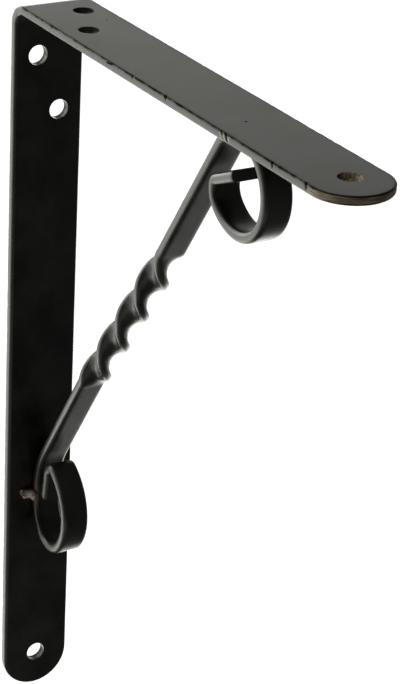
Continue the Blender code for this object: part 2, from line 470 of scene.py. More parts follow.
def face_places(width, holes, radius):
    """A grid of places inside the strip's outline, clear of its edges and of the holes."""
    half = width / 2
    leg = np.arange(0, STRAIGHT_LEG, FACE_SPACING)
    bend = np.arange(STRAIGHT_LEG, STRAIGHT_LEG + BEND_ARC, BEND_SPACING)
    arm = np.arange(STRAIGHT_LEG + BEND_ARC, STRIP_LENGTH, FACE_SPACING)
    rows = round(width / FACE_SPACING)
    aside = (np.arange(rows) + 0.5) / rows * width - half
    along, aside = (grid.ravel() for grid in np.meshgrid(np.concatenate((leg, bend, arm)), aside))
    margin = INNER_ARRIS + INNER_ROWS[-1] + CLEAR_OF_EDGE
    keep = inset_from_outline(along, aside, half) > margin
    for centre in holes:
        keep &= np.hypot(along - centre[0], aside - centre[1]) > radius + margin
    return np.column_stack((along[keep], aside[keep]))


def fill_face(places, loops, holes, radius):
    """Triangles over the face between its outline and its holes."""
    edges = [(loop[i - 1], loop[i]) for loop in loops for i in range(len(loop))]
    found = delaunay_2d_cdt([Vector(place / MM) for place in places], edges, [], 0, 1e-7)
    back = [first[0] for first in found[3]]
    triangles = np.array([[back[i] for i in face] for face in found[2]])
    middle = places[triangles].mean(axis=1)
    keep = np.ones(len(triangles), bool)
    for centre in holes:
        keep &= np.hypot(*(middle - centre).T) > radius
    triangles = triangles[keep]
    a, b, c = (places[triangles[:, i]] for i in range(3))
    flipped = np.cross(b - a, c - a) < 0
    triangles[flipped] = triangles[flipped][:, ::-1]
    return triangles


def hole_places():
    """Where the screw holes lie on the flat strip."""
    on_arm = [(ARM_START + distance, aside) for distance, aside in ARM_HOLES]
    on_leg = [(LEG_LENGTH - below, aside) for below, aside in LEG_HOLES]
    return on_leg + on_arm


def build_strip(sizes):
    """Places (along, aside, depth) of the strip's vertices, and its faces."""
    holes = hole_places()
    outlines = [(strip_outline(sizes.width), wall_rows(sizes.outer_arris, sizes.inner_arris))]
    punched = wall_rows(PUNCH_ENTRY_ARRIS, PUNCH_EXIT_ARRIS)
    outlines += [(hole_outline(centre, sizes.hole / 2), punched) for centre in holes]
    places = []
    faces = []
    rims = {0.0: [], BAR_THICKNESS: []}
    count = 0
    for (points, outward), rows in outlines:
        loops = []
        for inset, depth in rows:
            moved = points - outward * inset
            places.append(np.column_stack((moved, np.full(len(points), depth))))
            loops.append(count + np.arange(len(points)))
            count += len(points)
        for upper, lower in zip(loops, loops[1:]):
            faces += np.column_stack((upper, lower, np.roll(lower, -1), np.roll(upper, -1))).tolist()
        rims[0.0].append((loops[0], points, outward, rows[0][0]))
        rims[BAR_THICKNESS].append((loops[-1], points, outward, rows[-1][0]))
    inner = face_places(sizes.width, holes, sizes.hole / 2)
    for depth, rim in rims.items():
        extra = [points - out * (inset + row) for _, points, out, inset in rim for row in INNER_ROWS]
        extra = np.concatenate(extra + [inner])
        flat = [points - outward * inset for _, points, outward, inset in rim]
        numbers = np.concatenate([loop for loop, *_ in rim] + [count + np.arange(len(extra))])
        ends = np.cumsum([len(points) for points in flat])
        local = [list(range(end - len(points), end)) for end, points in zip(ends, flat)]
        triangles = fill_face(np.concatenate(flat + [extra]), local, holes, sizes.hole / 2 + rim[1][3])
        triangles = numbers[triangles]
        faces += (triangles if depth == 0 else triangles[:, ::-1]).tolist()
        places.append(np.column_stack((extra, np.full(len(extra), depth))))
        count += len(extra)
    return np.concatenate(places), faces


def from_stroke(points, start, end):
    """Distance of each point from a straight stroke."""
    start, run = np.array(start), np.subtract(end, start)
    share = np.clip((points - start) @ run / (run @ run), 0, 1)
    return np.linalg.norm(points - start - share[:, None] * run, axis=1)


def fade(distance, reach):
    """Falls softly from 1 where there is no distance."""
    return np.exp(-(distance / reach) ** 2)


def ramp(values, start, length):
    """Rises from 0 at the start to 1 over a length."""
    return np.clip((values - start) / length, 0, 1)


def strip_noise(along, aside, row):
    """Even noise on the strip, drawn from one row of a solid noise."""
    return np.array([noise.noise(Vector((a, b, row))) for a, b in zip(along, aside)])


def groove_marks(places):
    """How deep each place lies in the grooves of the arm's near edge, and how dull they make it."""
    side_view = places[:, ::2] - (ARM_START, 0)
    depth = np.zeros(len(places))
    dull = np.zeros(len(places))
    for start, end, wide, deep in EDGE_GROOVES:
        groove = fade(from_stroke(side_view, start, end), wide)
        depth = np.maximum(depth, groove * deep)
        dull = np.maximum(dull, groove)
    return depth, dull


def wear_strip(places, sizes):
    """Moves the strip's vertices to the wear that the bar shows."""
    along, aside, depth = places.T.copy()
    half = sizes.width / 2
    inset = inset_from_outline(along, aside, half)
    edge_row = np.where(aside < 0, NEAR_EDGE_ROW, FAR_EDGE_ROW)
    slow = strip_noise(along / EDGE_WAVE_LENGTH, edge_row, SLOW_ROW)
    quick = strip_noise(along / ARRIS_WANDER_LENGTH, edge_row, QUICK_ROW)
    on_edge = fade(inset, EDGE_WAVE_REACH) * np.sign(aside)
    corner = fade(np.hypot(inset, depth), NICK_REACH)
    rough = corner * np.abs(quick) * 2 * ARRIS_WANDER
    aside -= on_edge * sizes.waviness * (1 + slow) + rough * np.sign(aside)
    depth += rough
    on_near = fade(half + places[:, 1], NICK_REACH)
    for distance, length, deep in ARRIS_NICKS:
        nick = np.exp(-((along - ARM_START - distance) / length) ** 4) * corner * on_near * deep
        aside += nick
        depth += nick
    aside += groove_marks(places)[0] * on_near
    return np.column_stack((along, aside, depth))


def set_attribute(mesh, name, values):
    """Stores one number or one vector for each vertex."""
    kind, key = ("FLOAT", "value") if values.ndim == 1 else ("FLOAT_VECTOR", "vector")
    layer = mesh.attributes.new(name, kind, "POINT")
    layer.data.foreach_set(key, values.astype(np.float32).ravel())


def dull_places(places, inset, near_edge, hole):
    """How dull the steel is along the bar's edges and in the leg's punched walls."""
    along, aside, depth = places.T
    on_arm = along > STRAIGHT_LEG + BEND_ARC
    far_edge = fade(inset, ARRIS_REACH) * (aside > 0) * (along < STRAIGHT_LEG)
    uneven = strip_noise(along / ARRIS_WANDER_LENGTH, aside / EDGE_WAVE_LENGTH, QUICK_ROW)
    arris = fade(np.hypot(inset, depth), ARRIS_REACH) * (ARRIS_ROUGH + ARRIS_UNEVEN * uneven)
    smooth = ramp(depth, TORN_DEPTH, TORN_BLEND)
    wall = PUNCH_ROUGH * (1 - smooth) + SMOOTH_ROUGH * smooth
    layers = [groove_marks(places)[1] * near_edge, FAR_EDGE_ROUGH * far_edge]
    layers += [NEAR_EDGE_ROUGH * near_edge * on_arm, arris * on_arm]
    for below, offset in LEG_HOLES:
        to_hole = np.hypot(along - LEG_LENGTH + below, aside - offset) - hole / 2
        layers.append(wall * (to_hole < WALL_MARGIN))
    return np.max(layers, axis=0)


def mark_strip(mesh, places, sizes):
    """Stores where the paint is off, with painted highlights on its strokes, where it is rusty, with
    painted light and shade in the tip's hole, and which faces were sheared.
    """
    along, aside, depth = places.T
    half = sizes.width / 2
    inset = inset_from_outline(along, aside, half)
    sheared = fade(inset, SHEARED_REACH)
    near_edge = sheared * (aside < 0)
    side_view = places[:, ::2] - (ARM_START, 0)
    strokes = np.array([from_stroke(side_view, start, end) for start, end in GLINTING_BARE_STROKES])
    # Pale strokes where the paint is off, which are also a painted highlight where the groove's side
    # catches the light
    bare_and_glint = STROKE_BARE_AND_GLINT * fade(strokes.min(axis=0), STROKE_HALF_WIDTH) * near_edge

    distance, offset = ARM_HOLES[-1]
    to_hole = np.hypot(along - ARM_START - distance, aside - offset) - sizes.hole / 2
    grains = np.array([noise.noise(place) for place in (places / SPECK_SIZE).tolist()])
    specks = (grains > SPECK_LEAST) * (np.abs(to_hole) < SPECK_REACH) * (depth < SPECK_DEPTH)
    bare_and_glint = np.maximum(bare_and_glint, SPECK_BARE * specks)
    # Painted light and shade along with the rust: more film on the hole's lit far wall, and little on its
    # shaded near wall
    to_far_side = (aside - offset) / (sizes.hole / 2)
    rim = fade(np.maximum(to_hole, 0), HOLE_RUST_REACH)
    rim *= np.clip(HOLE_RUST + HOLE_RUST_AND_LIGHT_RISE * to_far_side, HOLE_RUST_LEAST, 1)

    upper, lower = TIP_RUST_DEPTHS
    band = ramp(depth, upper, TIP_RUST_BLEND) * ramp(-depth, -lower, TIP_RUST_BLEND)
    tip = ramp(along, STRIP_LENGTH - half - TIP_RUST_LEAD, TIP_RUST_RISE) * band * sheared
    rough = dull_places(places, inset, near_edge, sizes.hole)
    marks = {"sheared": sheared, "bare_and_glint": bare_and_glint, "rough": rough, "hole_rust_and_light": rim, "tip_rust": tip}
    for name, values in marks.items():
        set_attribute(mesh, name, values)


def make_bar_mesh(sizes):
    places, faces = build_strip(sizes)
    worn = wear_strip(places, sizes)
    mesh = bpy.data.meshes.new("angle_bar_dressed")
    mesh.from_pydata(strip_to_bar(*worn.T).tolist(), [], faces)
    mesh.shade_smooth()
    set_attribute(mesh, "strip", places)
    mark_strip(mesh, places, sizes)
    return mesh


def walk(start, heading, bends, turn_sign):
    """Points along straight runs and arcs, in side view."""
    x, z = start
    points = [(x, z)]
    for bend in bends:
        if len(bend) == 1:
            steps = max(1, round(bend[0] * MM / STRAIGHT_STEP))
            turn = 0.0
            chord = bend[0] * MM / steps
        else:
            radius, degrees = bend[0] * MM, bend[1]
            arc = radius * math.radians(abs(degrees))
            steps = max(2, min(round(abs(degrees) / DEGREES_PER_STEP), round(arc / LEAST_ARC_STEP)))
            turn = turn_sign * math.radians(degrees) / steps
            chord = 2 * radius * math.sin(abs(turn) / 2)
        for _ in range(steps):
            x += chord * math.cos(heading + turn / 2)
            z += chord * math.sin(heading + turn / 2)
            heading += turn
            points.append((x, z))
    return points


def path_length(points):
    return sum(math.dist(a, b) for a, b in zip(points, points[1:]))


def brace_path():
    """The brace's centre line from the lower tab to the upper one, and where the twist starts on it."""
    slope = math.radians(TWIST_SLOPE)
    lower = walk((0.0, 0.0), slope - math.pi, LOWER_SCROLL, 1)[::-1]
    upper_start = (TWIST_LENGTH * math.cos(slope), TWIST_LENGTH * math.sin(slope))
    upper = walk(upper_start, slope, UPPER_SCROLL, -1)
    steps = round(TWIST_LENGTH / TWIST_STEP)
    reach = [TWIST_LENGTH * i / steps for i in range(1, steps)]
    path = lower + [(d * math.cos(slope), d * math.sin(slope)) for d in reach] + upper
    contact = BAR_THICKNESS + CONTACT_GAP + BRACE_THICKNESS / 2
    shift_x = contact - min(x for x, z in path)
    shift_z = SHELF_FACE_HEIGHT - contact - max(z for x, z in path)
    return [(x + shift_x, z + shift_z) for x, z in path], path_length(lower)


def path_curve(points):
    """A curve along the brace's centre line, with a point near each end for the tab's arris."""
    first, second = Vector(points[0]), Vector(points[1])
    last, before = Vector(points[-1]), Vector(points[-2])
    points = list(points)
    points.insert(1, tuple(first + (second - first).normalized() * TAB_ARRIS))
    points.insert(-1, tuple(last + (before - last).normalized() * TAB_ARRIS))
    curve = bpy.data.curves.new("brace_path", "CURVE")
    curve.dimensions = "3D"
    spline = curve.splines.new("POLY")
    spline.points.add(len(points) - 1)
    for point, (x, z) in zip(spline.points, points):
        point.co = (x, BRACE_SIDE_OFFSET, z, 1.0)
    return curve


def new_tree(name, sockets):
    """A geometry tree with named inputs, what adds a node to it, and the inputs to link from."""
    tree = bpy.data.node_groups.new(name, "GeometryNodeTree")
    tree.interface.new_socket("Geometry", in_out="INPUT", socket_type="NodeSocketGeometry")
    tree.interface.new_socket("Geometry", in_out="OUTPUT", socket_type="NodeSocketGeometry")
    for kind, names in sockets.items():
        for socket in names:
            tree.interface.new_socket(socket, in_out="INPUT", socket_type=f"NodeSocket{kind}")
    return tree, partial(add_node, tree), tree.nodes.new("NodeGroupInput").outputs


def roughen_and_paint(add, geometry, unevenness, depth, material):
    """Pushes a surface in and out, shades it smooth and gives it its material, as a tree's last steps."""
    lowest = add("ShaderNodeMath", {0: depth, 1: -1.0}, operation="MULTIPLY")
    push = add("ShaderNodeMapRange", {0: unevenness, 3: lowest[0], 4: depth})
    normal = add("GeometryNodeInputNormal")
    outward = add("ShaderNodeVectorMath", {0: normal[0], "Scale": push[0]}, operation="SCALE")
    moved = add("GeometryNodeSetPosition", {"Geometry": geometry, "Offset": outward[0]})
    smooth = add("GeometryNodeSetShadeSmooth", {"Geometry": moved[0], "Shade Smooth": True})
    real = add("GeometryNodeRealizeInstances", {"Geometry": smooth[0]})
    painted = add("GeometryNodeSetMaterial", {"Geometry": real[0], "Material": material})
    add("NodeGroupOutput", {0: painted[0]})


def twisted_bar_tree():
    """Sweeps a bar with rounded edges along a curve and twists it over part of its length."""
    tree, add, given = new_tree("Twisted bar", {
        "Float": (
            "Width", "Thickness", "Edge Depth", "Edge Reach", "Twist Start", "Twist Length", "Lead In",
            "Twisted Share", "Tab Arris", "Tab Share", "Unevenness",
        ),
        "Int": ("Edge Steps", "Face Cuts", "Half Turns", "Seed"),
        "Material": ("Material",),
    })
    length = add("GeometryNodeSplineParameter")["Length"]
    total = add("GeometryNodeSplineLength")["Length"]

    # The twist's rate rises over the lead-in and falls again before the end
    begun = add("ShaderNodeMath", {0: length, 1: given["Twist Start"]}, operation="SUBTRACT")
    left = add("ShaderNodeMath", {0: given["Twist Length"], 1: begun[0]}, operation="SUBTRACT")
    rise = add("ShaderNodeMapRange", {0: begun[0], 2: given["Lead In"]})
    fall = add("ShaderNodeMapRange", {0: left[0], 2: given["Lead In"]})
    rate = add("ShaderNodeMath", {0: rise[0], 1: fall[0]}, operation="MULTIPLY")
    summed = add("GeometryNodeAccumulateField", {"Value": rate[0]})
    twice = add("ShaderNodeMath", {0: summed["Leading"], 1: summed["Trailing"]}, operation="ADD")
    done = add("ShaderNodeMath", {0: twice[0], 1: summed["Total"]}, operation="DIVIDE")
    turns = add("ShaderNodeMath", {0: done[0], 1: given["Half Turns"]}, operation="MULTIPLY")
    tilt = add("ShaderNodeMath", {0: turns[0], 1: -math.pi / 2}, operation="MULTIPLY")

    # The bar is a little narrower where it is twisted, and at the arris of each tab
    narrowed = add("ShaderNodeMapRange", {0: rate[0], 3: 1.0, 4: given["Twisted Share"]})
    back = add("ShaderNodeMath", {0: total, 1: length}, operation="SUBTRACT")
    to_end = add("ShaderNodeMath", {0: length, 1: back[0]}, operation="MINIMUM")
    tapered = add("ShaderNodeMapRange", {
        0: to_end[0], 2: given["Tab Arris"], 3: given["Tab Share"], 4: 1.0,
    })
    share = add("ShaderNodeMath", {0: narrowed[0], 1: tapered[0]}, operation="MULTIPLY")

    upright = add("GeometryNodeSetCurveNormal", {
        "Curve": given["Geometry"], "Normal": (0.0, 1.0, 0.0),
    }, mode="FREE")
    tilted = add("GeometryNodeSetCurveTilt", {"Curve": upright[0], "Tilt": tilt[0]})
    measured = add("GeometryNodeStoreNamedAttribute", {
        "Geometry": tilted[0], "Name": "along", "Value": length,
    })

    # The section: an oblong with round corners, stretched to make them elliptical
    stretch = add("ShaderNodeMath", {0: given["Edge Reach"], 1: given["Edge Depth"]}, operation="DIVIDE")
    before = add("ShaderNodeMath", {0: given["Width"], 1: stretch[0]}, operation="DIVIDE")
    oblong = add("GeometryNodeCurvePrimitiveQuadrilateral", {
        "Width": before[0], "Height": given["Thickness"],
    })
    filleted = add("GeometryNodeFilletCurve", {
        "Curve": oblong[0], "Count": given["Edge Steps"], "Radius": given["Edge Depth"],
    }, mode="POLY")
    scale = add("ShaderNodeCombineXYZ", {0: stretch[0], 1: 1.0, 2: 1.0})
    rounded = add("GeometryNodeTransform", {"Geometry": filleted[0], "Scale": scale[0]})

    # Every corner has one point more than it has steps, and the faces between corners are cut finer
    index = add("GeometryNodeInputIndex")
    points = add("ShaderNodeMath", {0: given["Edge Steps"], 1: 1.0}, operation="ADD")
    place_in_corner = add("ShaderNodeMath", {0: index[0], 1: points[0]}, operation="MODULO")
    last = add("ShaderNodeMath", {
        0: place_in_corner[0], 1: given["Edge Steps"], 2: 0.1,
    }, operation="COMPARE")
    cuts = add("ShaderNodeMath", {0: last[0], 1: given["Face Cuts"]}, operation="MULTIPLY")
    divided = add("GeometryNodeSubdivideCurve", {"Curve": rounded[0], "Cuts": cuts[0]})
    position = add("GeometryNodeInputPosition")
    section = add("GeometryNodeStoreNamedAttribute", {
        "Geometry": divided[0], "Name": "section", "Value": position[0],
    }, data_type="FLOAT_VECTOR")
    swept = add("GeometryNodeCurveToMesh", {
        "Curve": measured[0], "Profile Curve": section[0], "Scale": share[0], "Fill Caps": True,
    })

    # Each vertex keeps its place on the untwisted bar, for the paint and for the unevenness
    along_it = add("GeometryNodeInputNamedAttribute", {"Name": "along"})
    round_it = add("GeometryNodeInputNamedAttribute", {"Name": "section"}, data_type="FLOAT_VECTOR")
    parts = add("ShaderNodeSeparateXYZ", {0: round_it["Attribute"]})
    place = add("ShaderNodeCombineXYZ", {0: along_it["Attribute"], 1: parts[0], 2: parts[1]})
    marked = add("GeometryNodeStoreNamedAttribute", {
        "Geometry": swept[0], "Name": "strip", "Value": place[0],
    }, data_type="FLOAT_VECTOR")
    dents = add("ShaderNodeTexNoise", {
        "Vector": place[0], "W": given["Seed"], "Scale": 1 / DENT_SIZE,
    }, noise_dimensions="4D")
    roughen_and_paint(add, marked[0], dents[0], given["Unevenness"], given["Material"])
    return tree


def weld_tree():
    """Melts drops into one bead and ripples its surface."""
    tree, add, given = new_tree("Weld bead", {
        "Float": ("Grain", "Ripple", "Ripple Depth"), "Int": ("Melting", "Seed"), "Material": ("Material",),
    })
    radius = add("GeometryNodeInputNamedAttribute", {"Name": "radius"})
    drops = add("GeometryNodeMeshToPoints", {"Mesh": given["Geometry"], "Radius": radius["Attribute"]})
    cloud = add("GeometryNodePointsToVolume", {
        "Points": drops[0], "Voxel Size": given["Grain"], "Radius": add("GeometryNodeInputRadius")[0],
    }, resolution_mode="VOXEL_SIZE")
    skin = add("GeometryNodeVolumeToMesh", {
        "Volume": cloud[0], "Voxel Size": given["Grain"], "Threshold": WELD_SKIN,
    }, resolution_mode="VOXEL_SIZE")
    position = add("GeometryNodeInputPosition")
    melted = add("GeometryNodeBlurAttribute", {
        "Value": position[0], "Iterations": given["Melting"],
    }, data_type="FLOAT_VECTOR")
    bead = add("GeometryNodeSetPosition", {"Geometry": skin[0], "Position": melted[0]})
    scale = add("ShaderNodeMath", {0: 1.0, 1: given["Ripple"]}, operation="DIVIDE")
    ripples = add("ShaderNodeTexNoise", {
        "Vector": position[0], "W": given["Seed"], "Scale": scale[0],
    }, noise_dimensions="4D")
    roughen_and_paint(add, bead[0], ripples[0], given["Ripple Depth"], given["Material"])
    return tree


def grow(name, source, tree, values):
    """Runs a tree on a source object and returns the result as a plain mesh object."""
    modifier = source.modifiers.new(tree.name, "NODES")
    modifier.node_group = tree
    sockets = {item.name: item.identifier for item in tree.interface.items_tree if item.in_out == "INPUT"}
    for socket, value in values.items():
        modifier[sockets[socket]] = value
    graph = bpy.context.evaluated_depsgraph_get()
    mesh = bpy.data.meshes.new_from_object(source.evaluated_get(graph), depsgraph=graph)
    source.modifiers.remove(modifier)
    bpy.data.objects.remove(source)
    mesh.name = name
    return add_object(name, mesh)


def new_material(name):
    """A material, what adds a node to it, and the inputs of its shader."""
    material = bpy.data.materials.new(name)
    material.use_nodes = True
    tree = material.node_tree
    return material, partial(add_node, tree), tree.nodes["Principled BSDF"].inputs


def satin_enamel(name, finish, roughness, bar=False):
    """Satin black stoving enamel on hot-rolled mild steel, sprayed and baked.

    To the eye it is near black with a soft even sheen that brightens at grazing angles, a faint
    orange peel and cloudy patches of duller film. By the welds it is scorched brown. On the bar
    the shear's upright marks show through on the edges, and the tip and its hole wear a thin film
    of rust. In the hole that film is also painted light and shade, paler on the far wall and thin on
    the near one, and the pale strokes where the paint is off are also painted highlights.
    """
    material, add, shader = new_material(name)
    shader["IOR"].default_value = ENAMEL_IOR

    # Inputs 1 and 2 of a Map Range are the range it reads, and 3 and 4 the range it gives
    place = add("ShaderNodeAttribute", attribute_name="strip")["Vector"]
    clouds = add("ShaderNodeTexNoise", {
        "Vector": place, "Scale": 1 / CLOUD_SIZE, "Detail": 4.0, "Roughness": 0.6,
    })
    film = add("ShaderNodeMapRange", {
        0: clouds[0], 1: CLOUD_SHEEN[0], 2: CLOUD_SHEEN[1],
        3: roughness - ROUGHNESS_SPREAD, 4: roughness + ROUGHNESS_SPREAD,
    })
    patchy = add("ShaderNodeMapRange", {0: clouds[0], 1: CLOUD_TONE[0], 2: CLOUD_TONE[1]})
    cloudy = add("ShaderNodeMix", {
        "Factor": patchy[0], "A": finish.enamel, "B": finish.thin_enamel,
    }, data_type="RGBA")
    base = cloudy[2]
    roughness = film[0]

    solid = add("ShaderNodeTexCoord")["Object"]
    flakes = add("ShaderNodeTexNoise", {
        "Vector": solid, "Scale": 1 / FLAKE_SIZE, "Detail": 3.0, "Roughness": 0.6,
    })
    for node in ("weld_at_leg", "weld_at_arm"):
        low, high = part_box(node)
        away = add("ShaderNodeVectorMath", {0: solid, 1: (low + high) / 2}, operation="DISTANCE")
        heat = add("ShaderNodeMapRange", {0: away["Value"], 1: SCORCH_REACH, 2: 0.0})
        burnt = add("ShaderNodeMath", {0: heat[0], 1: flakes[0]}, operation="MULTIPLY")
        mask = add("ShaderNodeMapRange", {0: burnt[0], 1: SCORCH_TONE[0], 2: SCORCH_TONE[1]})
        scorched = add("ShaderNodeMix", {
            "Factor": mask[0], "A": base, "B": finish.scorch,
        }, data_type="RGBA")
        base = scorched[2]

    peel = add("ShaderNodeTexNoise", {"Vector": place, "Scale": 1 / PEEL_SIZE})
    height = add("ShaderNodeMath", {0: peel[0], 1: PEEL_DEPTH / MM}, operation="MULTIPLY")[0]
    link = material.node_tree.links.new
    if bar:
        base, roughness = add_rust(add, place, base, roughness, finish)
        link(add_dullness(add, place), shader["Specular IOR Level"])
        height = add_marks(add, place, height)
    bump = add("ShaderNodeBump", {"Height": height, "Distance": MM})
    link(base, shader["Base Color"])
    link(roughness, shader["Roughness"])
    link(bump[0], shader["Normal"])
    return material


def add_marks(add, place, height):
    """Adds the shear's upright marks to a height in millimetres."""
    along, down = SHEAR_MARK_SIZES
    stretched = add("ShaderNodeVectorMath", {0: place, 1: (1 / along, 0.0, 1 / down)}, operation="MULTIPLY")
    streaks = add("ShaderNodeTexNoise", {"Vector": stretched[0], "Scale": 1.0, "Detail": 3.0})
    sheared = add("ShaderNodeAttribute", attribute_name="sheared")
    on_edge = add("ShaderNodeMath", {0: streaks[0], 1: sheared["Fac"]}, operation="MULTIPLY")
    scored = add("ShaderNodeMath", {
        0: on_edge[0], 1: SHEAR_MARK_DEPTH / MM, 2: height,
    }, operation="MULTIPLY_ADD")
    return scored[0]


def add_rust(add, place, base, roughness, finish):
    """Lays a streaky rust film on the tip's edge and a blotchy one in its hole that also paints light and
    shade there, and bares strokes that also paint their highlight.
    """
    stretched = add("ShaderNodeVectorMath", {
        0: place, 1: [1 / size for size in RUST_STREAK_SIZES],
    }, operation="MULTIPLY")
    # The hole's film also paints light on its far wall and shade on its near wall
    layers = (("tip_rust", stretched[0], 1.0), ("hole_rust_and_light", place, 1 / RUST_BLOTCH_SIZE))
    for attribute, vector, scale in layers:
        amount = add("ShaderNodeAttribute", attribute_name=attribute)
        grain = add("ShaderNodeTexNoise", {"Vector": vector, "Scale": scale, "Detail": 4.0})
        tone = add("ShaderNodeMapRange", {0: grain[0], 1: RUST_TONE[0], 2: RUST_TONE[1]})
        film = add("ShaderNodeMix", {
            "Factor": tone[0], "A": finish.dark_rust, "B": finish.rust,
        }, data_type="RGBA")
        eaten = add("ShaderNodeMath", {0: amount["Fac"], 1: grain[0]}, operation="ADD")
        mask = add("ShaderNodeMapRange", {0: eaten[0], 1: RUST_FILM[0], 2: RUST_FILM[1]})
        mixed = add("ShaderNodeMix", {"Factor": mask[0], "A": base, "B": film[2]}, data_type="RGBA")
        duller = add("ShaderNodeMapRange", {0: mask[0], 3: roughness, 4: RUST_ROUGHNESS})
        base = mixed[2]
        roughness = duller[0]
    # Pale where the paint is off. On the strokes this is also a painted highlight
    bare_and_glint = add("ShaderNodeAttribute", attribute_name="bare_and_glint")
    bared = add("ShaderNodeMix", {
        "Factor": bare_and_glint["Fac"], "A": base, "B": finish.bare_and_glint,
    }, data_type="RGBA")
    return bared[2], roughness


def add_dullness(add, place):
    """Takes the enamel's shine away where the steel under it is torn, and in the pits."""
    rough = add("ShaderNodeAttribute", attribute_name="rough")
    shine = add("ShaderNodeMapRange", {0: rough["Fac"], 2: NO_SHINE_DULLNESS, 3: SHINE, 4: 0.0})[0]
    for distance, aside, radius in PITS:
        centre = (ARM_START + distance, aside, 0.0)
        away = add("ShaderNodeVectorMath", {0: place, 1: centre}, operation="DISTANCE")
        clear = add("ShaderNodeMapRange", {0: away["Value"], 1: PIT_CORE * radius, 2: radius})
        shine = add("ShaderNodeMath", {0: shine, 1: clear[0]}, operation="MULTIPLY")[0]
    return shine


def painted_weld(name, finish):
    """Mild steel weld metal under a thin coat of the same enamel.

    Drawn out molten and left as it froze, so it is lumpy, duller than the bar and brown where the
    paint is thin. Its pale tone is also a painted highlight, lighter than thin paint alone would be.
    """
    material, add, shader = new_material(name)
    shader["IOR"].default_value = ENAMEL_IOR
    shader["Roughness"].default_value = WELD_ROUGHNESS
    place = add("ShaderNodeTexCoord")["Object"]
    patches = add("ShaderNodeTexNoise", {"Vector": place, "Scale": 1 / WELD_PATCH_SIZE, "Detail": 3.0})
    mask = add("ShaderNodeMapRange", {0: patches[0], 1: WELD_TONE[0], 2: WELD_TONE[1]})
    # Patches of scorch and of the pale weld colour, which is partly a painted highlight
    mixed = add("ShaderNodeMix", {
        "Factor": mask[0], "A": finish.weld, "B": finish.scorch,
    }, data_type="RGBA")
    material.node_tree.links.new(mixed[2], shader["Base Color"])
    return material


def white_acrylic(radiance):
    """Matt white cast acrylic sheet, rubbed down: an even pale ground without a mirror image."""
    material, _, shader = new_material("white_acrylic_floor")
    shader["Base Color"].default_value = ACRYLIC_WHITE
    shader["Roughness"].default_value = ACRYLIC_ROUGHNESS
    shader["Emission Strength"].default_value = radiance
    return material


class SHELFBRACKET_OT_angle_bar(Operator):
    """Make the bent bar with its screw holes, worn edges and paint"""

    bl_idname = "shelf_bracket.angle_bar"
    bl_label = "Angle bar"

    def execute(self, context):
        finish = context.scene.bracket_finish
        bar = add_object("angle_bar_dressed", make_bar_mesh(context.scene.bracket_bar))
        bar.data.materials.append(
            satin_enamel("satin_black_enamel_bar", finish, finish.bar_roughness, bar=True)
        )
        check_closed(bar)
        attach(bar, "root")
        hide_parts("angle_bar")
        return {"FINISHED"}


class SHELFBRACKET_OT_brace(Operator):
    """Make the twisted brace with a scroll at each end"""

    bl_idname = "shelf_bracket.brace"
    bl_label = "Twisted brace"

    def execute(self, context):
        sizes = context.scene.bracket_brace
        finish = context.scene.bracket_finish
        points, twist_start = brace_path()
        path = add_object("brace_path", path_curve(points))
        material = satin_enamel("satin_black_enamel_brace", finish, finish.brace_roughness)
        values = {
            "Width": sizes.width, "Thickness": sizes.thickness,
            "Edge Depth": sizes.edge_depth, "Edge Reach": sizes.edge_reach,
            "Edge Steps": BRACE_EDGE_STEPS, "Face Cuts": BRACE_FACE_CUTS,
            "Twist Start": twist_start, "Twist Length": TWIST_LENGTH,
            "Half Turns": sizes.half_turns, "Lead In": TWIST_LEAD_IN,
            "Twisted Share": TWIST_WIDTH / BRACE_WIDTH, "Tab Share": 1 - TAB_ARRIS / BRACE_WIDTH,
            "Tab Arris": TAB_ARRIS, "Unevenness": sizes.unevenness,
            "Seed": BRACE_SEED, "Material": material,
        }
        brace = grow("twisted_brace_dressed", path, twisted_bar_tree(), values)
        check_closed(brace)
        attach(brace, "root")
        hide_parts("twisted_brace")
        return {"FINISHED"}


class SHELFBRACKET_OT_welds(Operator):
    """Make the two weld beads that join the brace to the bar"""

    bl_idname = "shelf_bracket.welds"
    bl_label = "Weld beads"

    def execute(self, context):
        sizes = context.scene.bracket_weld
        tree = weld_tree()
        values = {
            "Grain": sizes.voxel, "Melting": sizes.melting, "Ripple": sizes.ripple,
            "Ripple Depth": sizes.depth, "Seed": sizes.seed,
            "Material": painted_weld("painted_weld_metal", context.scene.bracket_finish),
        }
        corners = {
            "weld_at_leg": (Vector((1, 0, 0)), Vector((0, 0, 1))),
            "weld_at_arm": (Vector((0, 0, -1)), Vector((1, 0, 0))),
        }
        for node, (out, along) in corners.items():
            low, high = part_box(node)
            corner = (low + high) / 2 - out * abs((high - low).dot(out)) / 2
            corner.y = high.y
            mesh = bpy.data.meshes.new(node)
            drops = [corner + out * a + Vector((0, -b, 0)) + along * c for a, b, c, _ in WELD_DROPS]
            mesh.from_pydata([tuple(drop) for drop in drops], [], [])
            set_attribute(mesh, "radius", np.array([drop[3] for drop in WELD_DROPS]))
            bead = grow(f"{node}_dressed", add_object(node + "_drops", mesh), tree, values)
            check_closed(bead)
            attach(bead, "root")
            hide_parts(node)
        return {"FINISHED"}


def softbox(name, angles, distance, size, radiance):
    """An oblong soft light that faces the bracket and isn't itself seen by the camera."""
    light = bpy.data.lights.new(name, "AREA")
    light.shape = "RECTANGLE"
    light.size, light.size_y = size
    light.color = LIGHT_COLOUR
    light.energy = radiance * size[0] * size[1] * WATTS_FOR_RADIANCE
    azimuth, elevation = (math.radians(angle) for angle in angles)
    level = math.cos(elevation)
    away = Vector((level * math.cos(azimuth), level * math.sin(azimuth), math.sin(elevation)))
    lamp = add_object(name, light)
    lamp.location = Vector(LIGHT_CENTRE) + away * distance
    lamp.rotation_euler = away.to_track_quat("Z", "Y").to_euler()
    lamp.visible_camera = False


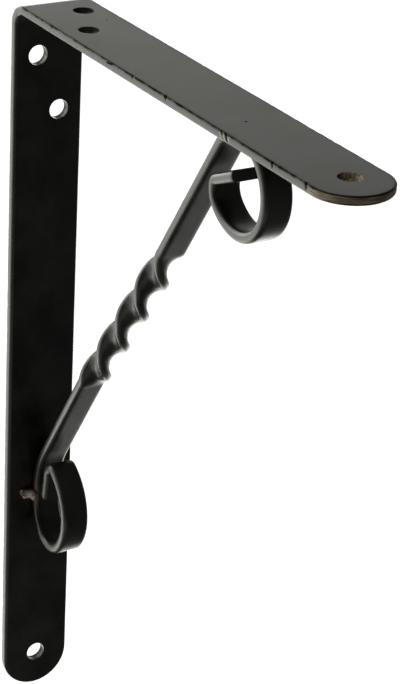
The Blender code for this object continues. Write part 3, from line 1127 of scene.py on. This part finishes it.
def cove():
    """A floor that curves up into a round wall and closes overhead."""
    flat = COVE_RADIUS - COVE_FILLET
    top = COVE_FILLET - FLOOR_DEPTH
    turns = [math.pi / 2 * i / COVE_STEPS for i in range(1, COVE_STEPS + 1)]
    profile = [(0.0, -FLOOR_DEPTH), (flat, -FLOOR_DEPTH)]
    profile += [(flat + COVE_FILLET * math.sin(turn), top - COVE_FILLET * math.cos(turn)) for turn in turns]
    profile += [(COVE_RADIUS * math.cos(turn), top + COVE_RADIUS * math.sin(turn)) for turn in turns]
    bm = bmesh.new()
    verts = [bm.verts.new((r, 0, z)) for r, z in profile]
    edges = [bm.edges.new(pair) for pair in zip(verts, verts[1:])]
    bmesh.ops.spin(
        bm, geom=verts + edges, cent=(0, 0, 0), axis=(0, 0, 1), angle=2 * math.pi, steps=COVE_SIDES,
        use_merge=True,
    )
    bmesh.ops.remove_doubles(bm, verts=bm.verts, dist=MM)
    mesh = bpy.data.meshes.new("studio_floor")
    bm.to_mesh(mesh)
    bm.free()
    mesh.shade_smooth()
    return mesh


class SHELFBRACKET_OT_stage(Operator):
    """Make the pale floor, the soft lights and the camera"""

    bl_idname = "shelf_bracket.stage"
    bl_label = "Stage"

    def execute(self, context):
        studio = context.scene.bracket_studio
        floor = add_object("studio_floor", cove())
        floor.data.materials.append(white_acrylic(studio.floor))
        floor.visible_diffuse = False
        floor.visible_glossy = False
        floor.visible_shadow = False

        for name, (angles, distance, halves, radiance) in SOFTBOXES.items():
            size = [2 * distance * math.tan(math.radians(angle)) for angle in halves]
            softbox(f"{name}_softbox", angles, distance, size, radiance * studio.lights)

        world = bpy.data.worlds.new("studio_room")
        world.use_nodes = True
        background = world.node_tree.nodes["Background"]
        background.inputs["Color"].default_value = (1.0, 1.0, 1.0, 1.0)
        background.inputs["Strength"].default_value = studio.ambient
        context.scene.world = world
        context.scene.view_settings.view_transform = "Standard"

        camera = bpy.data.cameras.new("camera")
        camera.lens = CAMERA_LENS
        camera.shift_x, camera.shift_y = CAMERA_SHIFT
        view = add_object("camera", camera)
        view.location = CAMERA_PLACE
        view.rotation_euler = Euler([math.radians(angle) for angle in CAMERA_TURN])
        context.scene.camera = view
        return {"FINISHED"}


class SHELFBRACKET_PT_panel(Panel):
    """Lists the bracket's sizes and the steps that make it"""

    bl_idname = "SHELFBRACKET_PT_panel"
    bl_label = "Shelf bracket"
    bl_space_type = "VIEW_3D"
    bl_region_type = "UI"
    bl_category = "Shelf bracket"

    def draw(self, context):
        for title, name, _, steps in PANEL_ROWS:
            box = self.layout.box()
            box.label(text=title)
            group = getattr(context.scene, name)
            for key in group.bl_rna.properties.keys():
                if key not in ("rna_type", "name"):
                    box.prop(group, key)
            for step in steps:
                box.operator(step.bl_idname)


PANEL_ROWS = (
    ("Bar", "bracket_bar", BarSizes, (SHELFBRACKET_OT_angle_bar,)),
    ("Brace", "bracket_brace", BraceSizes, (SHELFBRACKET_OT_brace,)),
    ("Welds", "bracket_weld", WeldSizes, (SHELFBRACKET_OT_welds,)),
    ("Finish", "bracket_finish", Finish, ()),
    ("Studio", "bracket_studio", Studio, (SHELFBRACKET_OT_stage,)),
)
CLASSES = (
    *(group for _, _, group, _ in PANEL_ROWS), *(step for *_, steps in PANEL_ROWS for step in steps),
    SHELFBRACKET_PT_panel,
)


def register():
    for cls in CLASSES:
        bpy.utils.register_class(cls)
    for _, name, group, _ in PANEL_ROWS:
        setattr(bpy.types.Scene, name, PointerProperty(type=group))


def unregister():
    for _, name, *_ in PANEL_ROWS:
        delattr(bpy.types.Scene, name)
    for cls in reversed(CLASSES):
        bpy.utils.unregister_class(cls)


def main():
    register()
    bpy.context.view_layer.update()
    bpy.ops.shelf_bracket.angle_bar()
    bpy.ops.shelf_bracket.brace()
    bpy.ops.shelf_bracket.welds()
    bpy.ops.shelf_bracket.stage()


if __name__ == "__main__":
    main()
